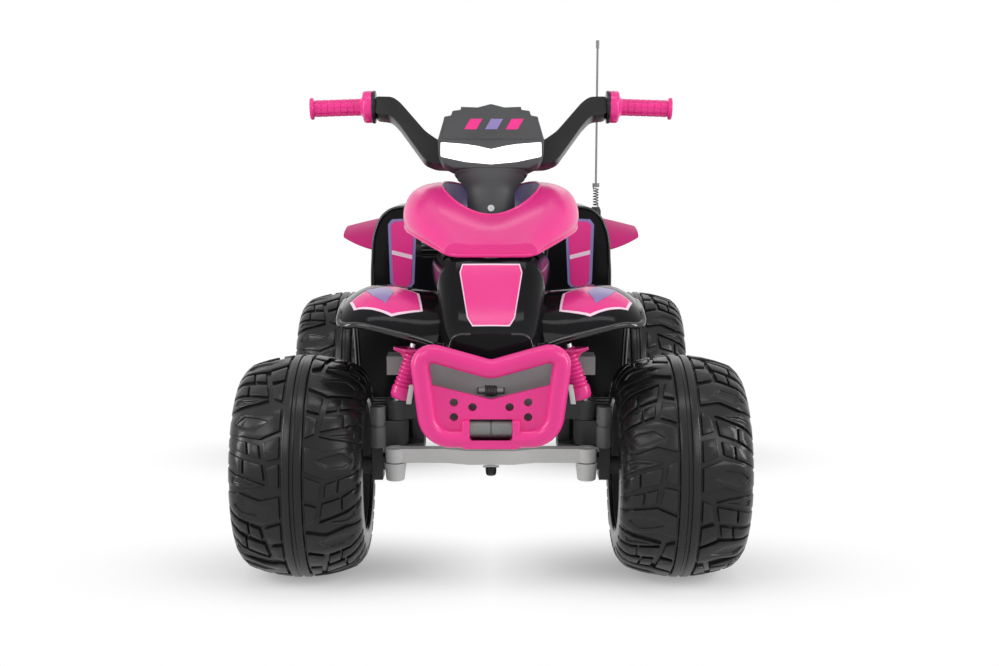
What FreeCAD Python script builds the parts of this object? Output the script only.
import FreeCAD, Part
from functools import lru_cache
import math
import os

V = FreeCAD.Vector
ORIGIN = V(0, 0, 0)
X_AXIS = V(1, 0, 0)

# A battery quad bike for children. Millimetres, +Z up, wheels stand on Z = 0, the bike faces -Y.
# The rider's left side is +X, so names with "left" have a positive X.
SIDES = (("left", 1), ("right", -1))

# Wheels and running gear
WHEELBASE = 740
HALF_TRACK = 298
TYRE_R = 178
TYRE_W = 204
TYRE_WALL = 8
BEAD_R = 104
CROWN_DROP = 16
SHOULDER_W = 166
LUG_DEPTH = 5
LUG_COUNT = 18
BAND_W = 34
TREAD_SPLIT = 56
TREAD_GROOVE = 7
SHOULDER_GROOVE = 12
SHOULDER_REACH = 16
RIM_WALL = 5
RIM_WEB = 6
WEB_HUB_X = 10
WEB_RIM_X = 34
RIM_WINDOWS = 6
RIM_WINDOW_R = 17
HUB_R = 22
HUB_LENGTH = 160
AXLE_R = 6
RUN_FIT = 0.06
CAP_WALL = 4
CAP_DEPTH = 18
NUT_R = 10
NUT_H = 8
FRONT_Y = -WHEELBASE / 2
REAR_Y = WHEELBASE / 2
AXLE_Z = TYRE_R
HUB_INNER_X = HALF_TRACK - HUB_LENGTH / 2
HUB_OUTER_X = HALF_TRACK + HUB_LENGTH / 2
NUT_GAP = 0.5

# Front axle and steering linkage: equal knuckle arms and crank make a parallelogram
KINGPIN_X = 150
KINGPIN_R = 8
STEER_ARM = 60
BARREL_R = 18
EAR_GAP = 1
EAR_T = 18
ARM_LOW = 175
ARM_TOP = 195
BARREL_LOW = ARM_TOP + 2 * EAR_GAP + EAR_T
BARREL_TOP = BARREL_LOW + 40
CARRIER_X0 = 173
CARRIER_LOW = 158
BEAM_Y0 = FRONT_Y + 42
BEAM_Y1 = BEAM_Y0 + 36
BEAM_X = 142
BEAM_LOW = 216
TOP_EAR_T = 30
BEAM_TOP = BARREL_TOP + EAR_GAP + TOP_EAR_T
EAR_LOW = BARREL_LOW - EAR_GAP - EAR_T
LEDGE_X = 30
PIN_HEAD_H = 6
WEB_X0 = 108
WEB_X1 = 127
KNUCKLE_X1 = 190
ARM_W = 18
ROD_LOW = ARM_TOP + 5
ROD_TOP = ROD_LOW + 22
ROD_HALF = 10
ROD_END_R = 15
ROD_MID_X = 36
ROD_TAPER_X = 70
PIVOT_R = 7
PIVOT_FIT = 0.1
OPEN_PIVOT_FIT = 0.4
TIE_PIN_Y = FRONT_Y - STEER_ARM

# Steering column, raked back about the crank's foot
RAKE = 20
COLUMN_R = 8
CRANK_PIN_R = 6
CRANK_Z = 250
SLOT_W = 13
SLOT_L = 28
NUT_DROP = 16
CRANK_NUT_R = 9
WASHER_R = 11
WASHER_GAP = 5.5
WASHER_T = 2
BUSH_WALL = 4
BUSH_L = 34
MAST_TOP = 510
MAST_T = 15
TAN_RAKE = math.tan(math.radians(RAKE))
COS_RAKE = math.cos(math.radians(RAKE))
SIN_RAKE = math.sin(math.radians(RAKE))
ROD_MID = (ROD_LOW + ROD_TOP) / 2
FOOT_Y = TIE_PIN_Y + (CRANK_Z - ROD_MID) * TAN_RAKE + STEER_ARM * COS_RAKE
FOOT_Z = CRANK_Z - STEER_ARM * SIN_RAKE

# Handlebar group, measured along the raked column from its foot
BAR_Y = 10
BAR_R = 17
GRIP_S = 550.5
BAR_LOW_S = 450
BAR_DEPTH = 40
COLLAR_R = 38
COLLAR_S0 = 348
COLLAR_S1 = 389
SHAFT_IN = 20
NECK_TOP_S = 428
NECK_FRONT = 42
NECK_SCREW_S = 363
NECK_SCREW_R = 3
NECK_SCREW_IN = 10
NECK_HEAD_R = 5.5
NECK_HEAD_H = 3
NECK_R = 58
GRIP_CORE_R = 10
GRIP_R = 13
GRIP_RIBS = 7
GRIP_X0 = 200
GRIP_X1 = 306
GRIP_FLANGE_R = 27
GRIP_FLANGE_T = 17
GRIP_END_T = 6
GRIP_END_R = 18.5
RIB_H = 1
PLATE_R = 28
PLATE_T = 5
DASH_T = 34
DASH_LOW_S = 430
LENS_T = 5
BUTTON_R = 6.5
BUTTON_TRAVEL = 3.5
BUTTON_FIT = 0.3
BUTTON_X = -50
BUTTON_UP = 18
BUTTON_HOLE = 14
BUTTON_IN = 10

# Body shells
WALL = 4
HOOD_FRONT_Y = -428
HOOD_REAR_Y = -110
DIP_R = 80
DISH_S = 330
DISH_T = 5
DISH_FIT = 5
NOSE_FRONT_Y = -520
SPINE_Y = -425
TANK_REAR_Y = 30
PANEL_GAP = 2
LEG_HALF = 7
LEG_X = 52
HOOD_LEGS = ((60, -150, 556), (40, -400, 540))
TANK_LEG = (-38, 400)
REAR_LEGS = ((240, 330), (386, 330))
FENDER_X0 = 67
FENDER_X1 = 232
REAR_FRONT_Y = 150
REAR_TAIL_Y = 585
DECK_Z = 404
DECK_X = 104
HATCH_GAP = 6
ARCH_R = 206
ARCH_X = 186
FLARE_X = 303

# Seat and its hinge
SEAT_FRONT_Y = 34
SEAT_REAR_Y = 425
SEAT_WALL = 5
SEAT_LIFT = 0.5
SEAT_LOW = DECK_Z + SEAT_LIFT
HINGE_Y = 440
HINGE_Z = 418
HINGE_PIN_R = 4
HINGE_BARREL_R = 8
HINGE_BARREL_X = 42
EAR_W = 10

# Frame, boards and power
RAIL_X0 = 42
RAIL_X1 = 62
RAIL_LOW = 192
RAIL_TOP = 262
RAIL_REAR_Y = 400
RAIL_WALL = 2
TIE_T = 20
POST_T = 16
POST_Y = BEAM_Y1 + 35
LUG_HALF = 24
LUG_DROP = 20
OUTRIGGER_R = 9
BED_FIT = 0.02
OUTRIGGER_YS = (-90, 140)
BOARD_T = 16
BOARD_LIP = 12
LIP_W = 8
BOARD_X1 = 236
BOARD_Y0 = -122
BOARD_Y1 = 148
BOARD_LOW = RAIL_LOW + 2 * OUTRIGGER_R - 1
BOARD_TOP = BOARD_LOW + BOARD_T
BATTERY_X = 72
BATTERY_Y0 = 60
BATTERY_Y1 = 205
BATTERY_H = 90
POST_X0 = 40
POST_X1 = 52
POST_L = 10
POST_H = 8
MODULE = 2
PINION_TEETH = 14
GEAR_TEETH = 46
PRESSURE = 25
BACKLASH = 0.3
GEAR_W = 16
GEAR_X0 = 148
CASE_WALL = 4
CASE_ROOM = 4
MOTOR_R = 22
MOTOR_L = 70
MESH_ANGLE = 150
SHAFT_R = 2.5
SHAFT_OUT = 14
SLEEVE_R = 14
DRIVE_HUB_R = 20

# Front end
BUMPER_FRONT_Y = -585
BUMPER_R = 14.2
BUMPER_PLATE_T = 8
BUMPER_HOLE_R = 5.5
BUMPER_HOLE_X = 54
BUMPER_HOLE_LOW = 304
BUMPER_HOLE_TOP = 326
INNER_HOLE_X = 27
INNER_HOLE_Z = 319
POCKET_X = 31
POCKET_LOW = 271
POCKET_TOP = 301
ROLLER_R = 11
ROLLER_FIT = 0.3
PLATE_GAP = 14
STANDOFF_X = 66
STANDOFF_Z = 312
STANDOFF_R = 8
FOLD = 6
LATCH_R = 4
LATCH_X = 18
LATCH_Z = 340
FRONT_PLATE_T = 8
FRONT_PLATE_X = 92
FRONT_PLATE_TOP = 384
STRUT_X0 = 52
STRUT_X1 = 70
STRUT_H = 16
CROSS_X = 162
CROSS_Y0 = -425
CROSS_Y1 = -385
CROSS_LOW = 337
CROSS_TOP = 366
SHOCK_RIBS = 6
SHOCK_R = 16
SHOCK_TOP = (119, -446, 384)
SHOCK_FOOT = (141, -452, 304)
SHOCK_PLATE_R = 20
TAB_X0 = 110
TAB_X1 = 142
TAB_UP = 10
TAB_H = 18
SHOCK_HEAD_R = 6

# Controls and antenna
PEDAL_X = -150
PEDAL_W = 50
PEDAL_L = 88
PEDAL_T = 6
PEDAL_RISE = 26
PEDAL_PIN_R = 4
PEDAL_PIN_Y = -8
PEDAL_PIN_UP = 12
PEDAL_BASE_T = 4
PEDAL_BARREL_R = 7.5
PEDAL_EAR_T = 7
PEDAL_BASE_Y0 = 84
PEDAL_BASE_Y1 = 12
SWITCH_Y0 = 70
SWITCH_Y1 = 46
SWITCH_X = 10
SWITCH_H = 9
LEVER_Y = -30
LEVER_Z = 490
LEVER_X0 = 127
LEVER_T = 9
LEVER_L = 74
LEVER_PIN_R = 5
LEVER_EYE_R = 12
LEVER_HALF = 6
LEVER_BOSS_R = 14
KNOB_R = 13
MAST_X = 216
MAST_Y = 330
MAST_R = 2.2
TIP_L = 16
TIP_STEP = 1.2
FERRULE_H = 8
BASE_R = 11
BASE_NECK_R = 8
BASE_NECK_H = 8
BASE_FOOT_H = 22
MAST_TIP_Z = 877
SPRING_LOW = 540
SPRING_TURNS = 6
SPRING_PITCH = 5.6
SPRING_R = 5
WIRE_R = 1.1


def box(x0, x1, y0, y1, z0, z1):
    return Part.makeBox(x1 - x0, y1 - y0, z1 - z0, V(x0, y0, z0))


def sided(side, x0, x1, y0, y1, z0, z1):
    """A box given for the +X side, moved to either side."""
    low, high = sorted((side * x0, side * x1))
    return box(low, high, y0, y1, z0, z1)


def rod(radius, start, end):
    a = V(*start)
    b = V(*end)
    return Part.makeCylinder(radius, (b - a).Length, a, b - a)


def tube(outer, inner, start, end):
    return rod(outer, start, end).cut(rod(inner, start, end))


def ball(radius, centre):
    return Part.makeSphere(radius, V(*centre))


def fuse(shapes):
    return shapes[0].multiFuse(shapes[1:]).removeSplitter()


def cut(shape, tools):
    for tool in tools:
        shape = shape.cut(tool)
    return shape


def group(shapes):
    return Part.makeCompound(shapes)


def polygon(points):
    return Part.Face(Part.makePolygon(points + [points[0]]))


def prism_xz(points, y0, y1):
    """Extrude an outline of (x, z) points from y0 to y1."""
    return polygon([V(x, y0, z) for x, z in points]).extrude(V(0, y1 - y0, 0))


def prism_xy(points, z0, z1):
    return polygon([V(x, y, z0) for x, y in points]).extrude(V(0, 0, z1 - z0))


def prism_yz(points, x0, x1):
    return polygon([V(x0, y, z) for y, z in points]).extrude(V(x1 - x0, 0, 0))


def mirrored(half):
    """The whole outline of a half outline that runs from its outer foot to the centre line."""
    return half + [(-x, z) for x, z in reversed(half[:-1])]


def revolve_x(points, y, z):
    """Turn an outline of (x, radius) points about the line along X through (y, z)."""
    outline = polygon([V(x, y, z + r) for x, r in points])
    return outline.revolve(V(0, y, z), X_AXIS, 360)


def spline(points):
    curve = Part.BSplineCurve()
    curve.interpolate(points)
    return curve.toShape()


def inset(points, wall):
    """Points moved square to the line that they make, to its right hand."""
    moved = []
    for i, (a, b) in enumerate(points):
        before = points[max(i - 1, 0)]
        after = points[min(i + 1, len(points) - 1)]
        da = after[0] - before[0]
        db = after[1] - before[1]
        length = math.hypot(da, db)
        moved.append((a + wall * db / length, b - wall * da / length))
    return moved


def thin_wire(points, wall, place):
    """A closed wire round a strip of even thickness along a smooth line."""
    outer = [place(a, b) for a, b in points]
    inner = [place(a, b) for a, b in inset(points, wall)]
    inner.reverse()
    edges = [spline(outer), Part.makeLine(outer[-1], inner[0])]
    edges += [spline(inner), Part.makeLine(inner[-1], outer[0])]
    return Part.Wire(edges)


def full_wire(points, place):
    line = [place(a, b) for a, b in points]
    return Part.Wire([spline(line), Part.makeLine(line[-1], line[0])])


def at_y(y):
    return lambda x, z: V(x, y, z)


def at_x(x):
    return lambda y, z: V(x, y, z)


def arch_shell(stations, wall):
    """A shell lofted along Y through arches given as half outlines."""
    wires = [thin_wire(mirrored(half)[::-1], wall, at_y(y)) for y, half in stations]
    return Part.makeLoft(wires, True, False)


def arch_solid(stations, inward=0):
    wires = [full_wire(inset(mirrored(half)[::-1], inward), at_y(y)) for y, half in stations]
    return Part.makeLoft(wires, True, False)


def arch_cap(y, half, thickness, inward=WALL / 2):
    """A flat wall that closes an arch, from its station towards +Y, set in from the outer face."""
    line = inset(mirrored(half)[::-1], inward)
    return Part.Face(full_wire(line, at_y(y))).extrude(V(0, thickness, 0))


def strip_loft(stations, wall, side):
    """A curved panel lofted along X through strips given as (y, z) lines from front to rear."""
    wires = [thin_wire(line, wall, at_x(side * x)) for x, line in stations]
    return Part.makeLoft(wires, True, False)


def leg(side, x, y, low, join, solid):
    """Square leg from a height up to the outer face of a shell, given as a full solid."""
    foot = sided(side, x - LEG_HALF, x + LEG_HALF, y - LEG_HALF, y + LEG_HALF, low, join)
    post = sided(side, x - LEG_HALF, x + LEG_HALF, y - LEG_HALF, y + LEG_HALF, low, MAST_TIP_Z)
    return fuse([foot, post.common(solid)])


def steered(shape):
    """Move a shape from the column's own frame to its raked place on the bike."""
    turned = shape.copy()
    turned.rotate(ORIGIN, X_AXIS, -RAKE)
    turned.translate(V(0, FOOT_Y, FOOT_Z))
    return turned


def on_column(y, s):
    """The bike's Y and Z of a point on the column's own frame."""
    return FOOT_Y + s * SIN_RAKE + y * COS_RAKE, FOOT_Z + s * COS_RAKE - y * SIN_RAKE


def column_s(z):
    """How far along the column its axis reaches a height."""
    return (z - FOOT_Z) / COS_RAKE


# Wheels


def crown_radius(x):
    """Outer radius of the tread at a distance from the tyre's middle."""
    return TYRE_R - CROWN_DROP * (2 * x / SHOULDER_W) ** 2


def tyre_outline(skin):
    """Half section of the tyre, skin mm inside its outer face, as (x, r) corners."""
    half = TYRE_W / 2 - skin
    shoulder = SHOULDER_W / 2 - skin / 2
    edge = TYRE_R - CROWN_DROP - skin
    low = (edge + BEAD_R) / 2
    return half, shoulder, edge, low


def tyre_wire(skin):
    half, shoulder, edge, low = tyre_outline(skin)
    points = [(-half, BEAD_R), (-half, low), (-shoulder, edge)]
    middle = TYRE_R - skin
    a, b, c = [V(x, 0, r) for x, r in points]
    crown = Part.Arc(c, V(0, 0, middle), V(shoulder, 0, edge)).toShape()
    bend = (half - shoulder) * 0.28
    left = Part.Arc(b, V(-half + bend, 0, (low + edge) / 2 + bend), c).toShape()
    right = Part.Arc(V(shoulder, 0, edge), V(half - bend, 0, (low + edge) / 2 + bend),
                     V(half, 0, low)).toShape()
    last = V(half, 0, BEAD_R)
    return [Part.makeLine(a, b), left, crown, right, Part.makeLine(V(half, 0, low), last),
            Part.makeLine(last, a)]


def tyre_disc(skin):
    face = Part.Face(Part.Wire(tyre_wire(skin)))
    return face.revolve(ORIGIN, X_AXIS, 360)


def groove(x0, x1, turn0, turn1, width):
    """A slanted cutter across the tread between two places given by distance and turn."""
    points = []
    for x, turn in ((x0, turn0), (x1, turn1)):
        points.append((x, turn * TYRE_R))
    (xa, ta), (xb, tb) = points
    across = math.hypot(xb - xa, tb - ta)
    blade = Part.makeBox(across, width, 2 * LUG_DEPTH + CROWN_DROP,
                         V(0, -width / 2, -LUG_DEPTH - CROWN_DROP * 0.75))
    blade.rotate(ORIGIN, V(0, 0, 1), math.degrees(math.atan2(tb - ta, xb - xa)))
    blade.translate(V(xa, 0, TYRE_R))
    blade.rotate(ORIGIN, X_AXIS, -math.degrees(turn0))
    return blade


def tyre():
    """A tyre about the X axis: raised centre band, two grooves and slanted lugs."""
    body = tyre_disc(0).cut(tyre_disc(TYRE_WALL))
    bead = BEAD_R + TYRE_WALL
    body = body.cut(tube(bead - TYRE_WALL * 0.1, BEAD_R - 1, (-TYRE_W / 2 + TYRE_WALL, 0, 0),
                         (TYRE_W / 2 - TYRE_WALL, 0, 0)))
    cutters = []
    for sign in (-1, 1):
        x0 = sign * BAND_W / 2
        x1 = sign * (BAND_W / 2 + LUG_DEPTH)
        low, high = sorted((x0, x1))
        depth = crown_radius(x1) - LUG_DEPTH
        cutters.append(tube(TYRE_R + 1, depth, (low, 0, 0), (high, 0, 0)))
        for i in range(LUG_COUNT):
            turn = 2 * math.pi * (i + 0.25 * (sign + 1)) / LUG_COUNT
            step = math.pi / LUG_COUNT
            reach = SHOULDER_W / 2 + SHOULDER_REACH
            bend = turn + 0.42 * step
            cutters.append(groove(x0 + sign * 3, sign * (TREAD_SPLIT + 2), turn, bend, TREAD_GROOVE))
            cutters.append(groove(sign * (TREAD_SPLIT - 2), sign * reach, bend, turn - 0.1 * step,
                                  SHOULDER_GROOVE))
    return body.cut(Part.makeCompound(cutters))


def rim():
    """A moulded rim about the X axis with its outer face towards +X."""
    half = TYRE_W / 2 - TYRE_WALL
    barrel = tube(BEAD_R, BEAD_R - RIM_WALL, (-half, 0, 0), (half, 0, 0))
    hub = rod(HUB_R, (-HUB_LENGTH / 2, 0, 0), (HUB_LENGTH / 2, 0, 0))
    edge = BEAD_R - RIM_WALL / 2
    web = revolve_x([(WEB_HUB_X, 0), (WEB_HUB_X + RIM_WEB, 0), (WEB_RIM_X + RIM_WEB, edge),
                     (WEB_RIM_X, edge)], 0, 0)
    body = fuse([barrel, hub, web])
    middle = (HUB_R + BEAD_R - RIM_WALL) / 2
    tools = [rod(AXLE_R + RUN_FIT, (-HUB_LENGTH, 0, 0), (HUB_LENGTH, 0, 0))]
    for i in range(RIM_WINDOWS):
        turn = 2 * math.pi * i / RIM_WINDOWS
        y = middle * math.cos(turn)
        z = middle * math.sin(turn)
        tools.append(rod(RIM_WINDOW_R, (0, y, z), (half, y, z)))
    return cut(body, tools)


def hub_cap():
    """A domed cap pushed over the hub's outer end, clear of the axle nut."""
    x0 = HUB_LENGTH / 2 - CAP_DEPTH / 3
    x1 = x0 + CAP_DEPTH
    outer = HUB_R + CAP_WALL
    inner = HUB_R + RUN_FIT
    skirt = tube(outer, inner, (x0, 0, 0), (x1, 0, 0))
    dome = revolve_x([(x1, 0), (x1, outer), (x1 + CAP_WALL, outer - CAP_WALL),
                      (x1 + 1.5 * CAP_WALL, 0)], 0, 0)
    return fuse([skirt, dome])


def wheels():
    tread = tyre()
    disc = rim()
    cap = hub_cap()
    for end, y in (("front", FRONT_Y), ("rear", REAR_Y)):
        for name, side in SIDES:
            for label, shape in (("tyre", tread), ("rim", disc), ("hub_cap", cap)):
                piece = shape.copy()
                if side < 0:
                    piece.rotate(ORIGIN, V(0, 0, 1), 180)
                piece.translate(V(side * HALF_TRACK, y, AXLE_Z))
                export(label + "_" + end + "_" + name, piece)


def axle_nut(side, y):
    x0 = side * (HUB_OUTER_X + NUT_GAP)
    x1 = x0 + side * NUT_H
    corners = [(y + NUT_R * math.cos(a), AXLE_Z + NUT_R * math.sin(a))
               for a in [math.pi * k / 3 for k in range(6)]]
    nut = prism_yz(corners, x0, x1)
    return nut.cut(rod(AXLE_R, (x0, y, AXLE_Z), (x1, y, AXLE_Z)))


# Front axle and steering linkage


def lower_bush_hole():
    return steered(rod(COLUMN_R + BUSH_WALL, (0, 0, 0), (0, 0, column_s(MAST_TOP) + BUSH_L)))


def axle_beam():
    """Cross beam with a clevis at each end for the kingpins and a bearing ledge for the column."""
    parts = [box(-BEAM_X, BEAM_X, BEAM_Y0, BEAM_Y1, BEAM_LOW, BEAM_TOP)]
    ledge_y = on_column(0, column_s(BEAM_TOP))[0] - LEDGE_X
    parts.append(box(-LEDGE_X, LEDGE_X, ledge_y, BEAM_Y1, BEAM_TOP - 2, BEAM_TOP + EAR_T))
    for name, side in SIDES:
        x = side * KINGPIN_X
        parts.append(sided(side, WEB_X0, WEB_X1, FRONT_Y + BARREL_R + 2, BEAM_Y1, EAR_LOW, BEAM_TOP))
        for low, top in ((EAR_LOW, EAR_LOW + EAR_T), (BARREL_TOP + EAR_GAP, BEAM_TOP)):
            parts.append(rod(BARREL_R, (x, FRONT_Y, low), (x, FRONT_Y, top)))
            plan = [(side * WEB_X0, BEAM_Y1), (side * WEB_X0, FRONT_Y), (x, FRONT_Y - BARREL_R),
                    (x, FRONT_Y + BARREL_R), (side * (WEB_X1 + 6), BEAM_Y1)]
            parts.append(prism_xy(plan, low, top))
    tools = [lower_bush_hole()]
    for name, side in SIDES:
        tools.append(rod(KINGPIN_R, (side * KINGPIN_X, FRONT_Y, 0), (side * KINGPIN_X, FRONT_Y, MAST_TOP)))
    return cut(fuse(parts), tools)


def kingpins():
    pins = []
    for name, side in SIDES:
        x = side * KINGPIN_X
        shank = rod(KINGPIN_R, (x, FRONT_Y, EAR_LOW), (x, FRONT_Y, BEAM_TOP))
        head = rod(KINGPIN_R * 1.5, (x, FRONT_Y, BEAM_TOP), (x, FRONT_Y, BEAM_TOP + PIN_HEAD_H))
        pins.append(fuse([shank, head]))
    return group(pins)


def knuckle(side, fit):
    """Steering knuckle: kingpin barrel, hub carrier and the arm with its pivot boss."""
    x = side * KINGPIN_X
    y0 = FRONT_Y - BARREL_R
    y1 = FRONT_Y + BARREL_R
    inner = KINGPIN_X - ARM_W / 2
    barrel = rod(BARREL_R, (x, FRONT_Y, BARREL_LOW), (x, FRONT_Y, BARREL_TOP))
    block = sided(side, KINGPIN_X, KNUCKLE_X1, y0, y1, BARREL_LOW, BARREL_TOP)
    carrier = sided(side, CARRIER_X0, KNUCKLE_X1, y0, y1, CARRIER_LOW, BARREL_LOW + 1)
    heel = sided(side, inner, KNUCKLE_X1, y0, y1, ARM_LOW, ARM_TOP)
    spacer = rod(AXLE_R * 2.3, (side * KNUCKLE_X1, FRONT_Y, AXLE_Z),
                 (side * (HUB_INNER_X - NUT_GAP), FRONT_Y, AXLE_Z))
    arm = sided(side, inner, inner + ARM_W, TIE_PIN_Y, FRONT_Y, ARM_LOW, ARM_TOP)
    boss_low = ARM_LOW - 4
    boss_h = ROD_LOW - NUT_GAP - boss_low
    boss = Part.makeCone(PIVOT_R + 6, PIVOT_R + 9, boss_h, V(x, TIE_PIN_Y, boss_low))
    tools = [rod(KINGPIN_R + RUN_FIT, (x, FRONT_Y, BARREL_LOW - 1), (x, FRONT_Y, BARREL_TOP + 1)),
             rod(AXLE_R, (side * CARRIER_X0, FRONT_Y, AXLE_Z), (side * HALF_TRACK, FRONT_Y, AXLE_Z)),
             rod(PIVOT_R + fit, (x, TIE_PIN_Y, 0), (x, TIE_PIN_Y, MAST_TOP))]
    return cut(fuse([barrel, block, carrier, heel, spacer, arm, boss]), tools)


def stub_axle(side):
    start = (side * CARRIER_X0, FRONT_Y, AXLE_Z)
    end = (side * (HUB_OUTER_X + NUT_GAP + NUT_H + 2), FRONT_Y, AXLE_Z)
    return group([rod(AXLE_R, start, end), axle_nut(side, FRONT_Y)])


def tie_rod():
    """Grey bar between the knuckle arms, with a wider middle round the crank's slot."""
    middle = SLOT_L / 2 + 8
    front = [(KINGPIN_X, ROD_HALF), (ROD_TAPER_X, ROD_HALF), (ROD_MID_X, middle)]
    front += [(-x, y) for x, y in reversed(front)]
    plan = front + [(x, -y) for x, y in reversed(front)]
    parts = [prism_xy([(x, TIE_PIN_Y + y) for x, y in plan], ROD_LOW, ROD_TOP)]
    for name, side in SIDES:
        x = side * KINGPIN_X
        parts.append(rod(ROD_END_R, (x, TIE_PIN_Y, ROD_LOW), (x, TIE_PIN_Y, ROD_TOP)))
    slot_y = TIE_PIN_Y - SLOT_L / 2
    tools = [box(-SLOT_W / 2, SLOT_W / 2, slot_y, slot_y + SLOT_L, 0, MAST_TOP)]
    for name, side in SIDES:
        x = side * KINGPIN_X
        tools.append(rod(PIVOT_R, (x, TIE_PIN_Y, 0), (x, TIE_PIN_Y, MAST_TOP)))
    return cut(fuse(parts), tools)


def tie_rod_pins():
    pins = []
    for name, side in SIDES:
        x = side * KINGPIN_X
        pins.append(rod(PIVOT_R, (x, TIE_PIN_Y, ARM_LOW - 6), (x, TIE_PIN_Y, ROD_TOP - 3)))
    return group(pins)


def steering_column():
    """Bent rod: shaft, crank and the slanted pin that works in the tie rod's slot."""
    pin_end = (ROD_LOW - NUT_DROP - CRANK_Z) / COS_RAKE
    shaft = rod(COLUMN_R, (0, 0, 0), (0, 0, BAR_LOW_S + SHAFT_IN))
    crank = rod(COLUMN_R - 1, (0, 0, 0), (0, -STEER_ARM, 0))
    pin = rod(CRANK_PIN_R, (0, -STEER_ARM, 0), (0, -STEER_ARM, pin_end))
    bends = [ball(COLUMN_R, (0, 0, 0)), ball(COLUMN_R - 1, (0, -STEER_ARM, 0))]
    return steered(fuse([shaft, crank, pin] + bends))


def column_bushes():
    bushes = []
    for z in (BEAM_TOP + EAR_T / 2, MAST_TOP - MAST_T / 2):
        s = column_s(z)
        bushes.append(steered(tube(COLUMN_R + BUSH_WALL, COLUMN_R + RUN_FIT, (0, 0, s - BUSH_L / 2),
                                   (0, 0, s + BUSH_L / 2))))
    return group(bushes)


# Handlebar group


def handlebar_outline():
    """Front view of the moulded bar as (x, s), with its two raised arms."""
    low = BAR_LOW_S
    top = GRIP_S + BAR_R
    foot = GRIP_S - BAR_R
    end = GRIP_X0 - PLATE_T
    neck = NECK_TOP_S - 2
    under = [(0, neck), (NECK_R - 4, neck), (64, low - 3), (92, low - 2), (111, low + 6), (154, foot - 17),
             (168, foot - 3), (end, foot)]
    over = [(end, top), (166, top), (153, top - 10), (110, low + 55), (88, low + 39), (0, low + 36)]
    half = under + over
    return half + [(-x, s) for x, s in reversed(half[1:-1])]


def handlebar():
    """Moulded bar with neck and grip cores, bored for the column."""
    bar = prism_xz(handlebar_outline(), BAR_Y - BAR_DEPTH / 2, BAR_Y + BAR_DEPTH / 2)
    neck = Part.makeCone(COLLAR_R, NECK_R, NECK_TOP_S - COLLAR_S1, V(0, 0, COLLAR_S1))
    neck = neck.common(box(-NECK_R, NECK_R, -NECK_FRONT, NECK_FRONT, COLLAR_S1, NECK_TOP_S))
    collar = rod(COLLAR_R, (0, 0, COLLAR_S0), (0, 0, COLLAR_S1))
    parts = [bar, neck, collar]
    for name, side in SIDES:
        parts.append(rod(GRIP_CORE_R, (side * (GRIP_X0 - BAR_DEPTH), BAR_Y, GRIP_S),
                         (side * (GRIP_X1 - GRIP_END_T), BAR_Y, GRIP_S)))
    tools = [rod(COLUMN_R, (0, 0, 0), (0, 0, BAR_LOW_S + SHAFT_IN)),
             rod(BUTTON_R + BUTTON_FIT, button_place(-BUTTON_HOLE), button_place(1)),
             neck_hole()]
    return steered(cut(fuse(parts), tools))


def neck_hole():
    s = NECK_SCREW_S
    return rod(NECK_SCREW_R, (0, -COLLAR_R - 5, s), (0, -COLLAR_R + NECK_SCREW_IN, s))


def button_place(depth):
    """A point on the light button's line, measured out from the bar's rear face."""
    return (BUTTON_X, BAR_Y + BAR_DEPTH / 2 + depth, BAR_LOW_S + BUTTON_UP)


def light_button():
    return steered(rod(BUTTON_R, button_place(-BUTTON_IN), button_place(BUTTON_TRAVEL + 1)))


def neck_screw():
    s = NECK_SCREW_S
    shank = rod(NECK_SCREW_R, (0, -COLLAR_R + NECK_SCREW_IN, s), (0, -COLLAR_R, s))
    head = rod(NECK_HEAD_R, (0, -COLLAR_R - NECK_HEAD_H, s), (0, -COLLAR_R + 0.5, s))
    collar = rod(COLLAR_R, (0, 0, COLLAR_S0), (0, 0, COLLAR_S1)).cut(neck_hole())
    return steered(fuse([shank, head]).cut(collar))


def crank_nut():
    """Washer and cap nut under the tie rod's middle."""
    y = -STEER_ARM
    top = (ROD_LOW - WASHER_GAP - CRANK_Z) / COS_RAKE
    low = top - WASHER_T
    end = (ROD_LOW - NUT_DROP - CRANK_Z) / COS_RAKE
    washer = tube(WASHER_R, CRANK_PIN_R, (0, y, low), (0, y, top))
    nut = rod(CRANK_NUT_R, (0, y, end - 4), (0, y, low))
    nut = nut.cut(rod(CRANK_PIN_R, (0, y, end), (0, y, low)))
    return steered(fuse([washer, nut]))


def dash_housing():
    """Dark shield in front of the bar, with a stepped crown."""
    low = DASH_LOW_S
    right = [(0, low), (62, low), (78, low + 8), (86, low + 22), (88, low + 48), (78.5, low + 83),
             (77.5, low + 89), (66, low + 91), (64, low + 99), (49.5, low + 101), (50.5, low + 106),
             (22, low + 105), (0, low + 111)]
    outline = right + [(-x, s) for x, s in reversed(right[1:-1])]
    front = BAR_Y - BAR_DEPTH / 2
    shell = prism_xz(outline, front - DASH_T, front)
    hollow = box(-70, 70, front - DASH_T + WALL, front, low + 58, low + 82)
    return steered(shell.cut(hollow))


def headlight_lens():
    """White V-shaped light band on the dash's front face."""
    low = DASH_LOW_S
    right = [(0, low + 2), (42, low + 8), (86, low + 18.5), (85.5, low + 43), (42, low + 39.5),
             (23, low + 36.5), (0, low + 31)]
    outline = right + [(-x, s) for x, s in reversed(right[1:-1])]
    front = BAR_Y - BAR_DEPTH / 2 - DASH_T
    return steered(prism_xz(outline, front - LENS_T, front))


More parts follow.
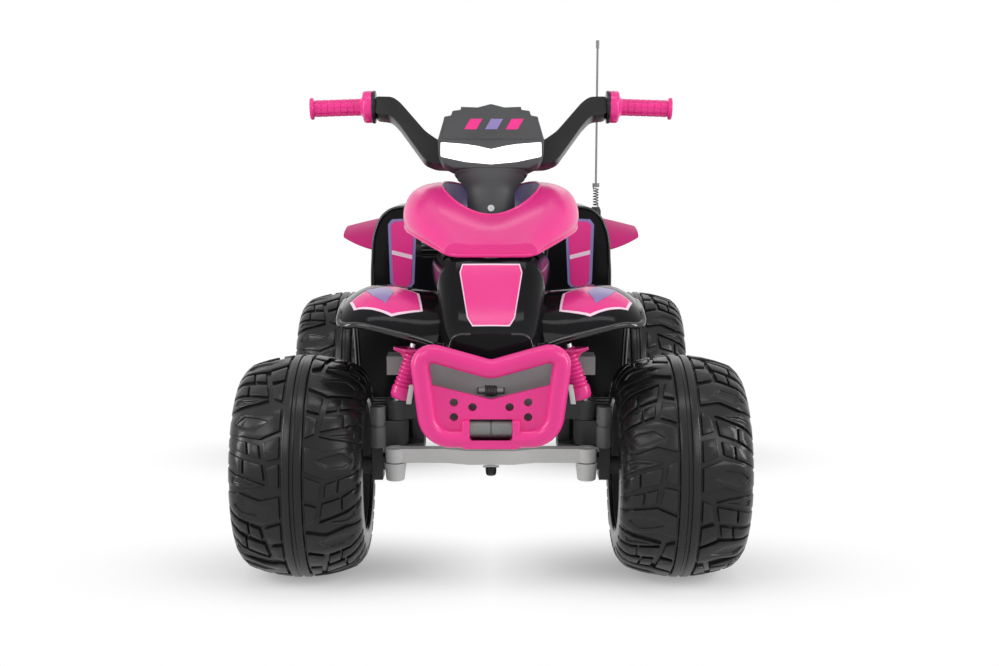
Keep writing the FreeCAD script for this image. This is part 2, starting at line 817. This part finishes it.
def grip(side):
    """Ribbed grip with an end bead and a broad inner flange."""
    x0 = GRIP_X0
    x1 = GRIP_X1
    body0 = x0 + GRIP_FLANGE_T
    body1 = x1 - GRIP_END_T
    step = (body1 - body0) / GRIP_RIBS
    rib = GRIP_R + RIB_H
    end = GRIP_END_R
    outline = [(x0, GRIP_CORE_R), (x0, GRIP_FLANGE_R - 2), (x0 + 2, GRIP_FLANGE_R),
               (body0 - 2, GRIP_FLANGE_R), (body0, GRIP_FLANGE_R - 2), (body0, GRIP_R)]
    for i in range(GRIP_RIBS):
        a = body0 + i * step
        outline += [(a + 0.3 * step, GRIP_R), (a + 0.4 * step, rib), (a + 0.9 * step, rib),
                    (a + step, GRIP_R)]
    outline += [(body1, end), (x1 - 1, end), (x1, end - 1), (x1, 0), (body1, 0),
                (body1, GRIP_CORE_R)]
    return steered(revolve_x([(side * x, r) for x, r in outline], BAR_Y, GRIP_S))


def grip_plates():
    plates = []
    for name, side in SIDES:
        start = (side * (GRIP_X0 - PLATE_T), BAR_Y, GRIP_S)
        plates.append(steered(tube(PLATE_R, GRIP_CORE_R, start, (side * GRIP_X0, BAR_Y, GRIP_S))))
    return group(plates)


# Body shells


HOOD_STATIONS = [
    (HOOD_FRONT_Y, [(60, 524), (71, 530), (67, 538), (36, 541), (0, 541)]),
    (-360, [(106, 540), (111, 553), (101, 568), (60, 572), (0, 567)]),
    (-280, [(137, 550), (141, 568), (128, 597), (82, 604), (0, 587)]),
    (-200, [(142, 553), (144, 570), (131, 606), (84, 621), (0, 606)]),
    (HOOD_REAR_Y, [(131, 545), (135, 562), (119, 590), (76, 599), (0, 595)]),
]


def hood():
    """Saddle-shaped cover with a round dip and a dished floor for the steering neck."""
    shell = arch_shell(HOOD_STATIONS, WALL)
    solid = arch_solid(HOOD_STATIONS)
    top = DISH_S + 300
    cup = steered(rod(DIP_R + WALL, (0, 0, DISH_S), (0, 0, top)))
    lip = arch_cap(HOOD_FRONT_Y, HOOD_STATIONS[0][1], WALL)
    parts = [shell, cup.common(arch_solid(HOOD_STATIONS, WALL / 2)), lip]
    below = [arch_solid(SPINE_STATIONS), arch_shell(SPINE_STATIONS, WALL)]
    for name, side in SIDES:
        for x, y, join in HOOD_LEGS:
            parts.append(cut(leg(side, x, y, MAST_TOP - 4 * WALL, join, solid), below))
    dip = steered(rod(DIP_R, (0, 0, DISH_S + DISH_T), (0, 0, top)))
    hole = steered(rod(COLLAR_R + DISH_FIT, (0, 0, DISH_S - DISH_T), (0, 0, top)))
    return cut(fuse(parts), [dip, hole])


NOSE_STATIONS = [
    (NOSE_FRONT_Y, [(64, 366), (62, 388), (58, 408), (48, 415), (0, 416)]),
    (-485, [(72, 356), (73, 388), (69, 430), (57, 442), (0, 446)]),
    (-455, [(75, 351), (76, 400), (72, 464), (60, 479), (0, 483)]),
    (SPINE_Y, [(77, 350), (78, 430), (74, 502), (62, 515), (0, 519)]),
]
SPINE_STATIONS = [
    NOSE_STATIONS[-1],
    (HOOD_REAR_Y, [(92, 360), (98, 430), (97, 488), (78, 501), (0, 504)]),
]
FENDER_LINES = [
    (FENDER_X0, [(-478, 396), (-452, 436), (-400, 457), (-330, 457), (-250, 435), (-185, 382),
                 (-150, 310), (-135, 240)]),
    (140, [(-490, 414), (-455, 448), (-400, 464), (-330, 464), (-250, 441), (-185, 387),
           (-150, 312), (-135, 240)]),
    (200, [(-480, 426), (-448, 450), (-400, 462), (-330, 462), (-250, 439), (-187, 385),
           (-150, 311), (-135, 240)]),
    (FENDER_X1, [(-462, 420), (-438, 433), (-400, 441), (-330, 441), (-255, 420), (-195, 374),
                 (-160, 308), (-138, 240)]),
]


def front_body():
    """Nose, centre shell and both front fenders as one moulding."""
    nose = arch_shell(NOSE_STATIONS, WALL)
    spine = arch_shell(SPINE_STATIONS, WALL)
    face = arch_cap(NOSE_FRONT_Y, NOSE_STATIONS[0][1], WALL)
    parts = [nose, spine, face]
    for name, side in SIDES:
        parts.append(strip_loft(FENDER_LINES, WALL, side))
    opening = steered(rod(DIP_R, (0, 0, column_s(MAST_TOP) - 60), (0, 0, DISH_S + 100)))
    x = CROSS_X + PANEL_GAP
    notch = box(-x, x, CROSS_Y0 - PANEL_GAP, CROSS_Y1 + PANEL_GAP, 0, CROSS_TOP)
    return cut(fuse(parts), [opening, notch])


TANK_STATIONS = [
    (HOOD_REAR_Y + PANEL_GAP, [(90, 380), (92, 470), (104, 526), (129, 544), (135, 562), (119, 590),
                               (76, 599), (0, 595)]),
    (-40, [(88, 380), (91, 455), (96, 508), (114, 528), (118, 545), (104, 567), (52, 576), (0, 577)]),
    (TANK_REAR_Y, [(84, 380), (88, 430), (90, 465), (92, 482), (90, 498), (76, 514), (40, 522), (0, 523)]),
]


def tank_cover():
    """Cover between hood and seat, with the gear lever's pivot boss on its right side."""
    shell = arch_shell(TANK_STATIONS, WALL)
    solid = arch_solid(TANK_STATIONS)
    wall = arch_cap(TANK_REAR_Y - WALL, TANK_STATIONS[-1][1], WALL)
    x = -LEVER_X0 + 1
    boss = rod(LEVER_BOSS_R, (-RAIL_X1, LEVER_Y, LEVER_Z), (x, LEVER_Y, LEVER_Z)).cut(solid)
    pin = rod(LEVER_PIN_R, (x, LEVER_Y, LEVER_Z), (x - LEVER_T - 2, LEVER_Y, LEVER_Z))
    y, join = TANK_LEG
    legs = [leg(side, LEG_X, y, RAIL_TOP, join, solid) for name, side in SIDES]
    return fuse([shell, wall, boss, pin] + legs)


REAR_STATIONS = [
    (REAR_FRONT_Y, [(226, 300), (231, 380), (230, 450), (222, 512), (202, 543), (170, 553), (136, 548),
                    (116, 520), (108, 465), (DECK_X, DECK_Z + 6), (80, DECK_Z), (0, DECK_Z)]),
    (330, [(226, 300), (231, 380), (230, 446), (222, 506), (202, 535), (170, 544), (136, 540),
           (116, 514), (108, 462), (DECK_X, DECK_Z + 6), (80, DECK_Z), (0, DECK_Z)]),
    (500, [(222, 310), (228, 380), (227, 434), (218, 488), (198, 516), (168, 525), (136, 520),
           (116, 500), (108, 454), (DECK_X, DECK_Z + 6), (80, DECK_Z), (0, DECK_Z)]),
    (REAR_TAIL_Y, [(196, 396), (204, 412), (203, 432), (196, 454), (182, 468), (160, 474), (136, 471),
                   (118, 458), (110, 432), (DECK_X, DECK_Z + 4), (80, DECK_Z - 2), (0, DECK_Z - 2)]),
]


@lru_cache
def rear_body():
    """Both rear fenders and the deck under the seat, with arches, battery hatch and hinge ears."""
    shell = arch_shell(REAR_STATIONS, WALL)
    clear = box(-DECK_X + WALL, DECK_X - WALL, 0, REAR_TAIL_Y + 1, 0, DECK_Z - WALL)
    front = arch_cap(REAR_FRONT_Y, REAR_STATIONS[0][1], WALL).cut(clear)
    tail = arch_cap(REAR_TAIL_Y - WALL, REAR_STATIONS[-1][1], WALL, WALL / 4).cut(clear)
    arches = []
    for name, side in SIDES:
        arches.append(rod(ARCH_R, (side * ARCH_X, REAR_Y, AXLE_Z), (side * FLARE_X, REAR_Y, AXLE_Z)))
    x = BATTERY_X + HATCH_GAP
    hatch = box(-x, x, REAR_FRONT_Y - 1, BATTERY_Y1 + HATCH_GAP, DECK_Z - 2 * WALL, DECK_Z + 2 * WALL)
    body = cut(fuse([shell, front, tail]), arches + [hatch])
    ears = []
    for name, side in SIDES:
        x0 = HINGE_BARREL_X + EAR_GAP
        x1 = x0 + EAR_W
        r = HINGE_BARREL_R
        ears.append(rod(r, (side * x0, HINGE_Y, HINGE_Z), (side * x1, HINGE_Y, HINGE_Z)))
        ears.append(sided(side, x0, x1, HINGE_Y - r, HINGE_Y + r, DECK_Z - WALL / 2, HINGE_Z))
    pin_hole = rod(HINGE_PIN_R, (-DECK_X, HINGE_Y, HINGE_Z), (DECK_X, HINGE_Y, HINGE_Z))
    legs = [leg(side, LEG_X, y, RAIL_TOP, join, rear_solid())
            for name, side in SIDES for y, join in REAR_LEGS]
    return fuse([body] + ears + legs).cut(pin_hole)


@lru_cache
def rear_solid():
    return arch_solid(REAR_STATIONS)


FLARE_LINES = [
    (200, [(250, 456), (290, 497), (336, 514), (390, 519), (450, 509), (500, 482), (530, 444)]),
    (250, [(266, 464), (302, 492), (342, 504), (390, 508), (444, 500), (486, 478), (514, 450)]),
    (FLARE_X, [(306, 484), (326, 490), (352, 493), (390, 495), (428, 491), (460, 483), (482, 472)]),
]


def rear_flares():
    tools = [rear_solid(), rear_body()]
    return group([cut(strip_loft(FLARE_LINES, WALL + 1, side), tools) for name, side in SIDES])


SEAT_STATIONS = [
    (SEAT_FRONT_Y, [(68, 420), (80, 434), (82, 478), (66, 500), (0, 506)]),
    (140, [(76, SEAT_LOW), (89, 424), (92, 456), (76, 474), (0, 480)]),
    (300, [(76, SEAT_LOW), (90, 426), (93, 460), (78, 480), (0, 488)]),
    (SEAT_REAR_Y, [(74, SEAT_LOW), (88, 428), (90, 468), (74, 492), (0, 502)]),
]


def seat_hollow():
    """The room under the saddle, one wall inside it and open below."""
    wires = []
    for y, half in SEAT_STATIONS:
        line = inset(mirrored(half)[::-1], SEAT_WALL)
        foot = DECK_Z - DECK_X
        line = [(line[0][0], foot)] + line[1:-1] + [(line[-1][0], foot)]
        y = min(max(y, SEAT_FRONT_Y + SEAT_WALL), SEAT_REAR_Y - SEAT_WALL)
        wires.append(Part.makePolygon([V(x, y, z) for x, z in line + line[:1]]))
    return Part.makeLoft(wires, True, True)


def seat():
    """Hard saddle shell with a hinge barrel at its rear."""
    shell = arch_solid(SEAT_STATIONS).cut(seat_hollow())
    x = HINGE_BARREL_X
    barrel = rod(HINGE_BARREL_R, (-x, HINGE_Y, HINGE_Z), (x, HINGE_Y, HINGE_Z))
    tongue = box(-x, x, SEAT_REAR_Y - SEAT_WALL, HINGE_Y, HINGE_Z, HINGE_Z + HINGE_BARREL_R)
    bore = rod(HINGE_PIN_R + RUN_FIT, (-x, HINGE_Y, HINGE_Z), (x, HINGE_Y, HINGE_Z))
    return fuse([shell, barrel, tongue]).cut(bore)


def seat_hinge_pin():
    x = HINGE_BARREL_X + EAR_W + 3
    return rod(HINGE_PIN_R, (-x, HINGE_Y, HINGE_Z), (x, HINGE_Y, HINGE_Z))


# Frame, boards and front end


def main_frame():
    """Two side rails with cross members, board carriers, rear axle lugs and the steering mast."""
    tie_y = BEAM_Y1 + TIE_T / 2
    parts = [box(-RAIL_X0, RAIL_X0, RAIL_REAR_Y - TIE_T, RAIL_REAR_Y, RAIL_LOW, RAIL_TOP),
             box(-RAIL_X0, RAIL_X0, tie_y, tie_y + TIE_T, RAIL_LOW, RAIL_TOP - TIE_T / 2)]
    for name, side in SIDES:
        rail = sided(side, RAIL_X0, RAIL_X1, BEAM_Y1, RAIL_REAR_Y, RAIL_LOW, RAIL_TOP)
        bore = sided(side, RAIL_X0 + RAIL_WALL, RAIL_X1 - RAIL_WALL, BEAM_Y1, RAIL_REAR_Y,
                     RAIL_LOW + RAIL_WALL, RAIL_TOP - RAIL_WALL)
        parts.append(rail.cut(bore))
        parts.append(sided(side, RAIL_X0, RAIL_X1, REAR_Y - LUG_HALF, REAR_Y + LUG_HALF,
                           AXLE_Z - LUG_DROP, RAIL_LOW))
        parts.append(sided(side, RAIL_X0 + 6 - POST_T, RAIL_X0 + 6, POST_Y, POST_Y + POST_T, RAIL_LOW,
                           MAST_TOP))
    bush_y = on_column(0, column_s(MAST_TOP))[0]
    parts.append(box(-RAIL_X0 - 6, RAIL_X0 + 6, bush_y - LEDGE_X, POST_Y + POST_T, MAST_TOP - MAST_T,
                     MAST_TOP))
    for y in OUTRIGGER_YS:
        z = RAIL_LOW + OUTRIGGER_R
        parts.append(rod(OUTRIGGER_R, (-BOARD_X1 + 10, y, z), (BOARD_X1 - 10, y, z)))
    axle_hole = rod(AXLE_R, (-HALF_TRACK, REAR_Y, AXLE_Z), (HALF_TRACK, REAR_Y, AXLE_Z))
    return cut(fuse(parts), [lower_bush_hole(), axle_hole])


def footboards():
    """Ribbed foot plates on both sides of the rails."""
    boards = []
    for name, side in SIDES:
        plate = sided(side, RAIL_X1 + PANEL_GAP, BOARD_X1, BOARD_Y0, BOARD_Y1, BOARD_LOW, BOARD_TOP)
        lip = sided(side, BOARD_X1 - LIP_W, BOARD_X1, BOARD_Y0, BOARD_Y1, BOARD_TOP,
                    BOARD_TOP + BOARD_LIP)
        z = RAIL_LOW + OUTRIGGER_R
        saddles = [rod(OUTRIGGER_R + BED_FIT, (side * RAIL_X1, y, z), (side * (BOARD_X1 - 9), y, z))
                   for y in OUTRIGGER_YS]
        boards.append(cut(fuse([plate, lip]), saddles))
    return group(boards)


def front_bumper():
    """Tube frame with a V-shaped top, filled below by a drilled plate with a roller pocket."""
    y = BUMPER_FRONT_Y + BUMPER_R
    right = [(0, 375), (92, 400), (102, 386), (91, 290), (76, 272)]
    path = right + [(-x, z) for x, z in reversed(right[1:])]
    parts = []
    for (xa, za), (xb, zb) in zip(path, path[1:] + path[:1]):
        parts.append(rod(BUMPER_R, (xa, y, za), (xb, y, zb)))
        parts.append(ball(BUMPER_R, (xa, y, za)))
    plate = [(0, 328), (92, 351), (91, 288), (76, 270), (-76, 270), (-91, 288), (-92, 351)]
    parts.append(prism_xz(plate, y - BUMPER_PLATE_T / 2, y + BUMPER_PLATE_T / 2))
    tools = [box(-POCKET_X, POCKET_X, y - 40, y + 40, POCKET_LOW, POCKET_TOP)]
    for name, side in SIDES:
        for x, z in ((BUMPER_HOLE_X, BUMPER_HOLE_TOP), (BUMPER_HOLE_X, BUMPER_HOLE_LOW),
                     (INNER_HOLE_X, INNER_HOLE_Z)):
            tools.append(rod(BUMPER_HOLE_R, (side * x, y - 40, z), (side * x, y + 40, z)))
    return cut(fuse(parts), tools)


def winch_roller():
    """Roller with a groove round its middle, held between the pocket's ends."""
    y = BUMPER_FRONT_Y + BUMPER_R
    end = POCKET_X - ROLLER_FIT
    z = (POCKET_LOW + POCKET_TOP) / 2
    outline = [(-end, 0), (-end, ROLLER_R), (-1, ROLLER_R), (-1, ROLLER_R - 2), (1, ROLLER_R - 2),
               (1, ROLLER_R), (end, ROLLER_R), (end, 0)]
    return revolve_x(outline, y, z)


def front_plate():
    """Grey plate behind the bumper, folded at its middle, with arms to the cross bar."""
    y = BUMPER_FRONT_Y + BUMPER_R + BUMPER_PLATE_T / 2 + PLATE_GAP
    t = FRONT_PLATE_T
    x = FRONT_PLATE_X
    plan = [(-x, y + FOLD), (0, y), (x, y + FOLD), (x, y + FOLD + t), (0, y + t), (-x, y + FOLD + t)]
    parts = [prism_xy(plan, POCKET_LOW - FOLD, FRONT_PLATE_TOP)]
    back = BUMPER_FRONT_Y + BUMPER_R + BUMPER_PLATE_T / 2
    for name, side in SIDES:
        x = side * STANDOFF_X
        parts.append(sided(side, STRUT_X0, STRUT_X1, y + t, CROSS_Y0, CROSS_LOW, CROSS_LOW + STRUT_H))
        parts.append(rod(STANDOFF_R, (x, back, STANDOFF_Z), (x, y + t, STANDOFF_Z)))
    parts.append(rod(LATCH_R, (-LATCH_X, y - 1, LATCH_Z), (LATCH_X, y - 1, LATCH_Z)))
    return fuse(parts)


def cross_bar():
    """Grey bar that carries the dummy shocks, on two legs from the axle beam."""
    parts = [box(-CROSS_X, CROSS_X, CROSS_Y0, CROSS_Y1, CROSS_LOW, CROSS_TOP)]
    for name, side in SIDES:
        top = CROSS_LOW + STRUT_H
        parts.append(sided(side, STRUT_X0, STRUT_X1, CROSS_Y1, BEAM_Y1, CROSS_LOW, top))
        parts.append(sided(side, STRUT_X0, STRUT_X1, BEAM_Y0, BEAM_Y1, BEAM_TOP, top))
    return fuse(parts)


def shock_line(side):
    top, foot = [V(side * x, y, z) for x, y, z in (SHOCK_TOP, SHOCK_FOOT)]
    return top, foot


def shocks():
    """Pink ribbed dummy shock absorbers, each with a tab to the cross bar."""
    made = []
    for name, side in SIDES:
        top, foot = shock_line(side)
        line = foot - top
        length = line.Length
        step = (length - 12) / SHOCK_RIBS
        outline = [(0, 0), (0, SHOCK_PLATE_R), (5, SHOCK_PLATE_R), (8, SHOCK_PLATE_R / 2)]
        for i in range(SHOCK_RIBS):
            a = 10 + i * step
            r = SHOCK_R - 4 + 4.0 * i / SHOCK_RIBS
            outline += [(a, r), (a + 0.45 * step, r), (a + 0.5 * step, r - 3), (a + 0.95 * step, r - 3)]
        outline += [(length, SHOCK_R), (length, 0)]
        body = revolve_x(outline, 0, 0)
        turn = FreeCAD.Rotation(X_AXIS, line)
        body.Placement = FreeCAD.Placement(top, turn)
        low = CROSS_LOW + TAB_UP
        tab = sided(side, TAB_X0, TAB_X1, top.y, CROSS_Y0, low, low + TAB_H)
        made.append(fuse([body, tab]))
    return group(made)


def body_screws():
    """Bolt heads on the shocks' top plates."""
    heads = []
    for name, side in SIDES:
        top, foot = shock_line(side)
        axis = top - foot
        axis.normalize()
        heads.append(Part.makeCylinder(SHOCK_HEAD_R, SHOCK_HEAD_R, top, axis))
    return group(heads)


# Rear drive


def mesh_point():
    distance = MODULE * (PINION_TEETH + GEAR_TEETH) / 2
    turn = math.radians(MESH_ANGLE)
    return REAR_Y + distance * math.cos(turn), AXLE_Z + distance * math.sin(turn)


def gear_outline(teeth, phase):
    """Involute outline as (y, z) about the gear's centre, with a tooth centred on phase."""
    pitch = MODULE * teeth / 2
    base = pitch * math.cos(math.radians(PRESSURE))
    tip = pitch + MODULE
    root = pitch - 1.25 * MODULE
    tan_pitch = math.tan(math.radians(PRESSURE))
    half = math.pi / (2 * teeth) - BACKLASH / 2 / pitch
    inv_pitch = tan_pitch - math.radians(PRESSURE)
    radii = [max(base, root) + k * (tip - max(base, root)) / 4 for k in range(5)]
    flank = [(root, half + inv_pitch)] if root < base else []
    for r in radii:
        angle = math.acos(min(1, base / r))
        flank.append((r, half + inv_pitch - (math.tan(angle) - angle)))
    points = []
    for i in range(teeth):
        centre = phase + 2 * math.pi * i / teeth
        for r, a in flank:
            points.append((r * math.cos(centre - a), r * math.sin(centre - a)))
        for r, a in reversed(flank):
            points.append((r * math.cos(centre + a), r * math.sin(centre + a)))
    return points


def drive_gear(side):
    """Gear on the wheel's hub side, running on the fixed rear axle."""
    phase = math.radians(MESH_ANGLE)
    outline = [(REAR_Y + y, AXLE_Z + z) for y, z in gear_outline(GEAR_TEETH, phase)]
    wheel = prism_yz(outline, side * GEAR_X0, side * (GEAR_X0 + GEAR_W))
    hub = rod(DRIVE_HUB_R, (side * GEAR_X0, REAR_Y, AXLE_Z), (side * HUB_INNER_X, REAR_Y, AXLE_Z))
    bore = rod(AXLE_R + RUN_FIT, (side * GEAR_X0, REAR_Y, AXLE_Z), (side * HALF_TRACK, REAR_Y, AXLE_Z))
    return fuse([wheel, hub]).cut(bore)


def pinion(side):
    y, z = mesh_point()
    phase = math.radians(MESH_ANGLE) + math.pi + math.pi / PINION_TEETH
    outline = [(y + a, z + b) for a, b in gear_outline(PINION_TEETH, phase)]
    wheel = prism_yz(outline, side * GEAR_X0, side * (GEAR_X0 + GEAR_W))
    shaft = rod(SHAFT_R, (side * (GEAR_X0 - SHAFT_OUT), y, z), (side * (GEAR_X0 + GEAR_W), y, z))
    return fuse([wheel, shaft])


def lobes(side, x0, x1, grow):
    """Case outline round both gears, grow mm outside their teeth."""
    y, z = mesh_point()
    big = MODULE * (GEAR_TEETH / 2 + 1) + grow
    small = MODULE * (PINION_TEETH / 2 + 1) + grow
    parts = [rod(big, (side * x0, REAR_Y, AXLE_Z), (side * x1, REAR_Y, AXLE_Z)),
             rod(small, (side * x0, y, z), (side * x1, y, z))]
    turn = math.radians(MESH_ANGLE + 90)
    dy = small * math.cos(turn)
    dz = small * math.sin(turn)
    parts.append(prism_yz([(REAR_Y + dy, AXLE_Z + dz), (y + dy, z + dz), (y - dy, z - dz),
                           (REAR_Y - dy, AXLE_Z - dz)], side * x0, side * x1))
    return fuse(parts)


def gearboxes():
    """Case and cover on each side, with a sleeve along the axle to the frame."""
    made = []
    y, z = mesh_point()
    x0 = GEAR_X0 - CASE_ROOM - CASE_WALL
    x1 = GEAR_X0 + GEAR_W + CASE_ROOM
    for name, side in SIDES:
        case = lobes(side, x0, x1, CASE_ROOM + CASE_WALL)
        sleeve = rod(SLEEVE_R, (side * RAIL_X1, REAR_Y, AXLE_Z), (side * x0, REAR_Y, AXLE_Z))
        pocket = lobes(side, x0 + CASE_WALL, x1, CASE_ROOM)
        axle = rod(AXLE_R, (0, REAR_Y, AXLE_Z), (side * x1, REAR_Y, AXLE_Z))
        shaft = rod(SHAFT_R + 1, (side * RAIL_X1, y, z), (side * x1, y, z))
        made.append(cut(fuse([case, sleeve]), [pocket, axle, shaft]))
        cover = lobes(side, x1, x1 + CASE_WALL, CASE_ROOM + CASE_WALL)
        made.append(cover.cut(rod(DRIVE_HUB_R + 1, (side * x0, REAR_Y, AXLE_Z),
                                  (side * HALF_TRACK, REAR_Y, AXLE_Z))))
    return group(made)


def motors():
    made = []
    y, z = mesh_point()
    x1 = GEAR_X0 - CASE_ROOM - CASE_WALL
    for name, side in SIDES:
        can = rod(MOTOR_R, (side * (x1 - MOTOR_L), y, z), (side * x1, y, z))
        made.append(can.cut(rod(SHAFT_R + RUN_FIT, (side * (GEAR_X0 - SHAFT_OUT), y, z), (side * x1, y, z))))
    return group(made)


def rear_axle():
    end = HUB_OUTER_X + NUT_GAP + NUT_H + 2
    shaft = rod(AXLE_R, (-end, REAR_Y, AXLE_Z), (end, REAR_Y, AXLE_Z))
    return group([shaft, axle_nut(1, REAR_Y), axle_nut(-1, REAR_Y)])


def battery():
    body = box(-BATTERY_X, BATTERY_X, BATTERY_Y0, BATTERY_Y1, RAIL_TOP, RAIL_TOP + BATTERY_H)
    y = BATTERY_Y0 + POST_L
    z = RAIL_TOP + BATTERY_H
    posts = [sided(side, POST_X0, POST_X1, y, y + POST_L, z, z + POST_H) for name, side in SIDES]
    return fuse([body] + posts)


# Controls


def pedal_pin():
    return PEDAL_PIN_Y, BOARD_TOP + PEDAL_PIN_UP


def pedal():
    """Foot pedal hinged at its heel, resting raised."""
    y, z = pedal_pin()
    x0 = PEDAL_X - PEDAL_W / 2
    x1 = PEDAL_X + PEDAL_W / 2
    barrel = rod(PEDAL_BARREL_R, (x0, y, z), (x1, y, z))
    pad = box(x0, x1, y - PEDAL_L, y, z, z + PEDAL_T)
    pad.rotate(V(0, y, z), X_AXIS, -PEDAL_RISE)
    bore = rod(PEDAL_PIN_R + RUN_FIT, (x0, y, z), (x1, y, z))
    return fuse([barrel, pad]).cut(bore)


def pedal_switch():
    """Base on the right footboard with the pedal's ears, pin and switch block."""
    y, z = pedal_pin()
    inner = PEDAL_W / 2 + EAR_GAP
    outer = inner + PEDAL_EAR_T
    low = BOARD_TOP
    top = low + PEDAL_BASE_T
    parts = [box(PEDAL_X - outer, PEDAL_X + outer, y - PEDAL_BASE_Y0, y + PEDAL_BASE_Y1, low, top)]
    for name, side in SIDES:
        x0, x1 = sorted((PEDAL_X + side * inner, PEDAL_X + side * outer))
        parts.append(box(x0, x1, y - PEDAL_BARREL_R, y + PEDAL_BARREL_R, low, z + PEDAL_BARREL_R))
    parts.append(rod(PEDAL_PIN_R, (PEDAL_X - outer, y, z), (PEDAL_X + outer, y, z)))
    parts.append(box(PEDAL_X - SWITCH_X, PEDAL_X + SWITCH_X, y - SWITCH_Y0, y - SWITCH_Y1, low,
                     top + SWITCH_H))
    return fuse(parts)


def gear_lever():
    x0 = -LEVER_X0 - LEVER_T
    x1 = -LEVER_X0
    eye = rod(LEVER_EYE_R, (x0, LEVER_Y, LEVER_Z), (x1, LEVER_Y, LEVER_Z))
    arm = box(x0, x1, LEVER_Y - LEVER_HALF, LEVER_Y + LEVER_HALF, LEVER_Z, LEVER_Z + LEVER_L)
    knob = ball(KNOB_R, ((x0 + x1) / 2 - 2, LEVER_Y, LEVER_Z + LEVER_L + LEVER_HALF))
    bore = rod(LEVER_PIN_R + RUN_FIT, (x0 - 1, LEVER_Y, LEVER_Z), (x1 + 1, LEVER_Y, LEVER_Z))
    return fuse([eye, arm, knob]).cut(bore)


# Antenna


def antenna_base():
    """Foot on the left rear fender, shaped to the fender's top."""
    top = SPRING_LOW - BASE_NECK_H
    foot = rod(BASE_R, (MAST_X, MAST_Y, top - BASE_FOOT_H), (MAST_X, MAST_Y, top))
    neck = Part.makeCone(BASE_R, BASE_NECK_R, BASE_NECK_H, V(MAST_X, MAST_Y, top))
    return cut(fuse([foot, neck]), [rear_solid(), rear_body()])


def spring_top():
    return SPRING_LOW + 4 * WIRE_R + (SPRING_TURNS + 0.5) * SPRING_PITCH


def arc_from(p, tangent, q):
    """Arc that leaves p along a tangent and ends at q."""
    chord = q - p
    across = chord - tangent * chord.dot(tangent)
    radius = chord.Length ** 2 / (2 * across.Length)
    across.normalize()
    centre = p + across * radius
    out = (p + q) * 0.5 - centre
    out.normalize()
    return Part.Arc(p, centre + out * radius, q).toShape()


def biarc(p, tp, q, tq):
    """Two arcs that join two points with given directions."""
    v = q - p
    t = tp + tq
    c = 2 * (1 - tp.dot(tq))
    b = v.dot(t)
    d = (-b + math.sqrt(b * b + c * v.dot(v))) / c
    joint = (p + q + (tp - tq) * d) * 0.5
    middle = joint - p - tp * d
    middle.normalize()
    return [arc_from(p, tp, joint), arc_from(joint, middle, q)]


def helix_point(turn):
    """Point and direction on the coil after a number of turns."""
    a = 2 * math.pi * turn
    z = SPRING_LOW + 2 * WIRE_R + turn * SPRING_PITCH
    point = V(MAST_X + SPRING_R * math.cos(a), MAST_Y + SPRING_R * math.sin(a), z)
    along = V(-SPRING_R * math.sin(a), SPRING_R * math.cos(a), SPRING_PITCH / (2 * math.pi))
    along.normalize()
    return point, along


def antenna_spring():
    """Coil of one wire whose straight ends stand on the base and under the mast's ferrule."""
    up = V(0, 0, 1)
    first = V(MAST_X + SPRING_R, MAST_Y, SPRING_LOW)
    start = first + up * (2 * WIRE_R)
    turns = [0.25 + 0.25 * k for k in range(4 * SPRING_TURNS + 1)]
    edges = [Part.makeLine(first, start)]
    here, along = start, up
    for turn in turns:
        point, direction = helix_point(turn)
        edges += biarc(here, along, point, direction)
        here, along = point, direction
    top = V(MAST_X + SPRING_R * math.cos(math.pi), MAST_Y, spring_top())
    bend = top - up * (2 * WIRE_R)
    edges += biarc(here, along, bend, up)
    edges.append(Part.makeLine(bend, top))
    path = Part.Wire(edges)
    ring = Part.Wire([Part.makeCircle(WIRE_R, first, up)])
    print("spring least gap to itself", round(least_gap(path), 2))
    return path.makePipeShell([ring], True, False)


def least_gap(path):
    """Least distance between turns of a wire, less the wire's thickness, measured on points."""
    points = path.discretize(400)
    step = path.Length / 399
    skip = int(math.pi * SPRING_R / step)
    least = 1e9
    for i in range(len(points)):
        for j in range(i + skip, len(points)):
            least = min(least, (points[i] - points[j]).Length)
    return least - 2 * WIRE_R


def antenna_mast():
    low = spring_top()
    ferrule = rod(SPRING_R + 2 * WIRE_R, (MAST_X, MAST_Y, low), (MAST_X, MAST_Y, low + FERRULE_H))
    whip = rod(MAST_R, (MAST_X, MAST_Y, low), (MAST_X, MAST_Y, MAST_TIP_Z - TIP_L + 2))
    tip = rod(MAST_R + TIP_STEP, (MAST_X, MAST_Y, MAST_TIP_Z - TIP_L), (MAST_X, MAST_Y, MAST_TIP_Z))
    return fuse([ferrule, whip, tip])


def export(name, shape):
    for solid in shape.Solids:
        if not solid.isValid() or solid.Volume <= 0:
            print("check", name, solid.isValid(), round(solid.Volume, 1))
    print(name, len(shape.Solids), round(shape.Volume / 1000, 1))
    shape.exportStep("parts/" + name + ".step")


def main():
    os.makedirs("parts", exist_ok=True)
    wheels()
    for name, side in SIDES:
        export("knuckle_" + name, knuckle(side, PIVOT_FIT if side > 0 else OPEN_PIVOT_FIT))
        export("stub_axle_" + name, stub_axle(side))
        export("grip_" + name, grip(side))
        export("drive_gear_" + name, drive_gear(side))
        export("pinion_" + name, pinion(side))
    pieces = [axle_beam, kingpins, tie_rod, tie_rod_pins, steering_column, column_bushes, handlebar,
              light_button, neck_screw, crank_nut, dash_housing, headlight_lens, grip_plates, hood,
              front_body, tank_cover, rear_body, rear_flares, seat, seat_hinge_pin, main_frame,
              footboards, front_bumper, winch_roller, front_plate, cross_bar, shocks, body_screws,
              gearboxes, motors, rear_axle, battery, pedal, pedal_switch, gear_lever, antenna_base,
              antenna_spring, antenna_mast]
    for piece in pieces:
        export(piece.__name__, piece())


main()
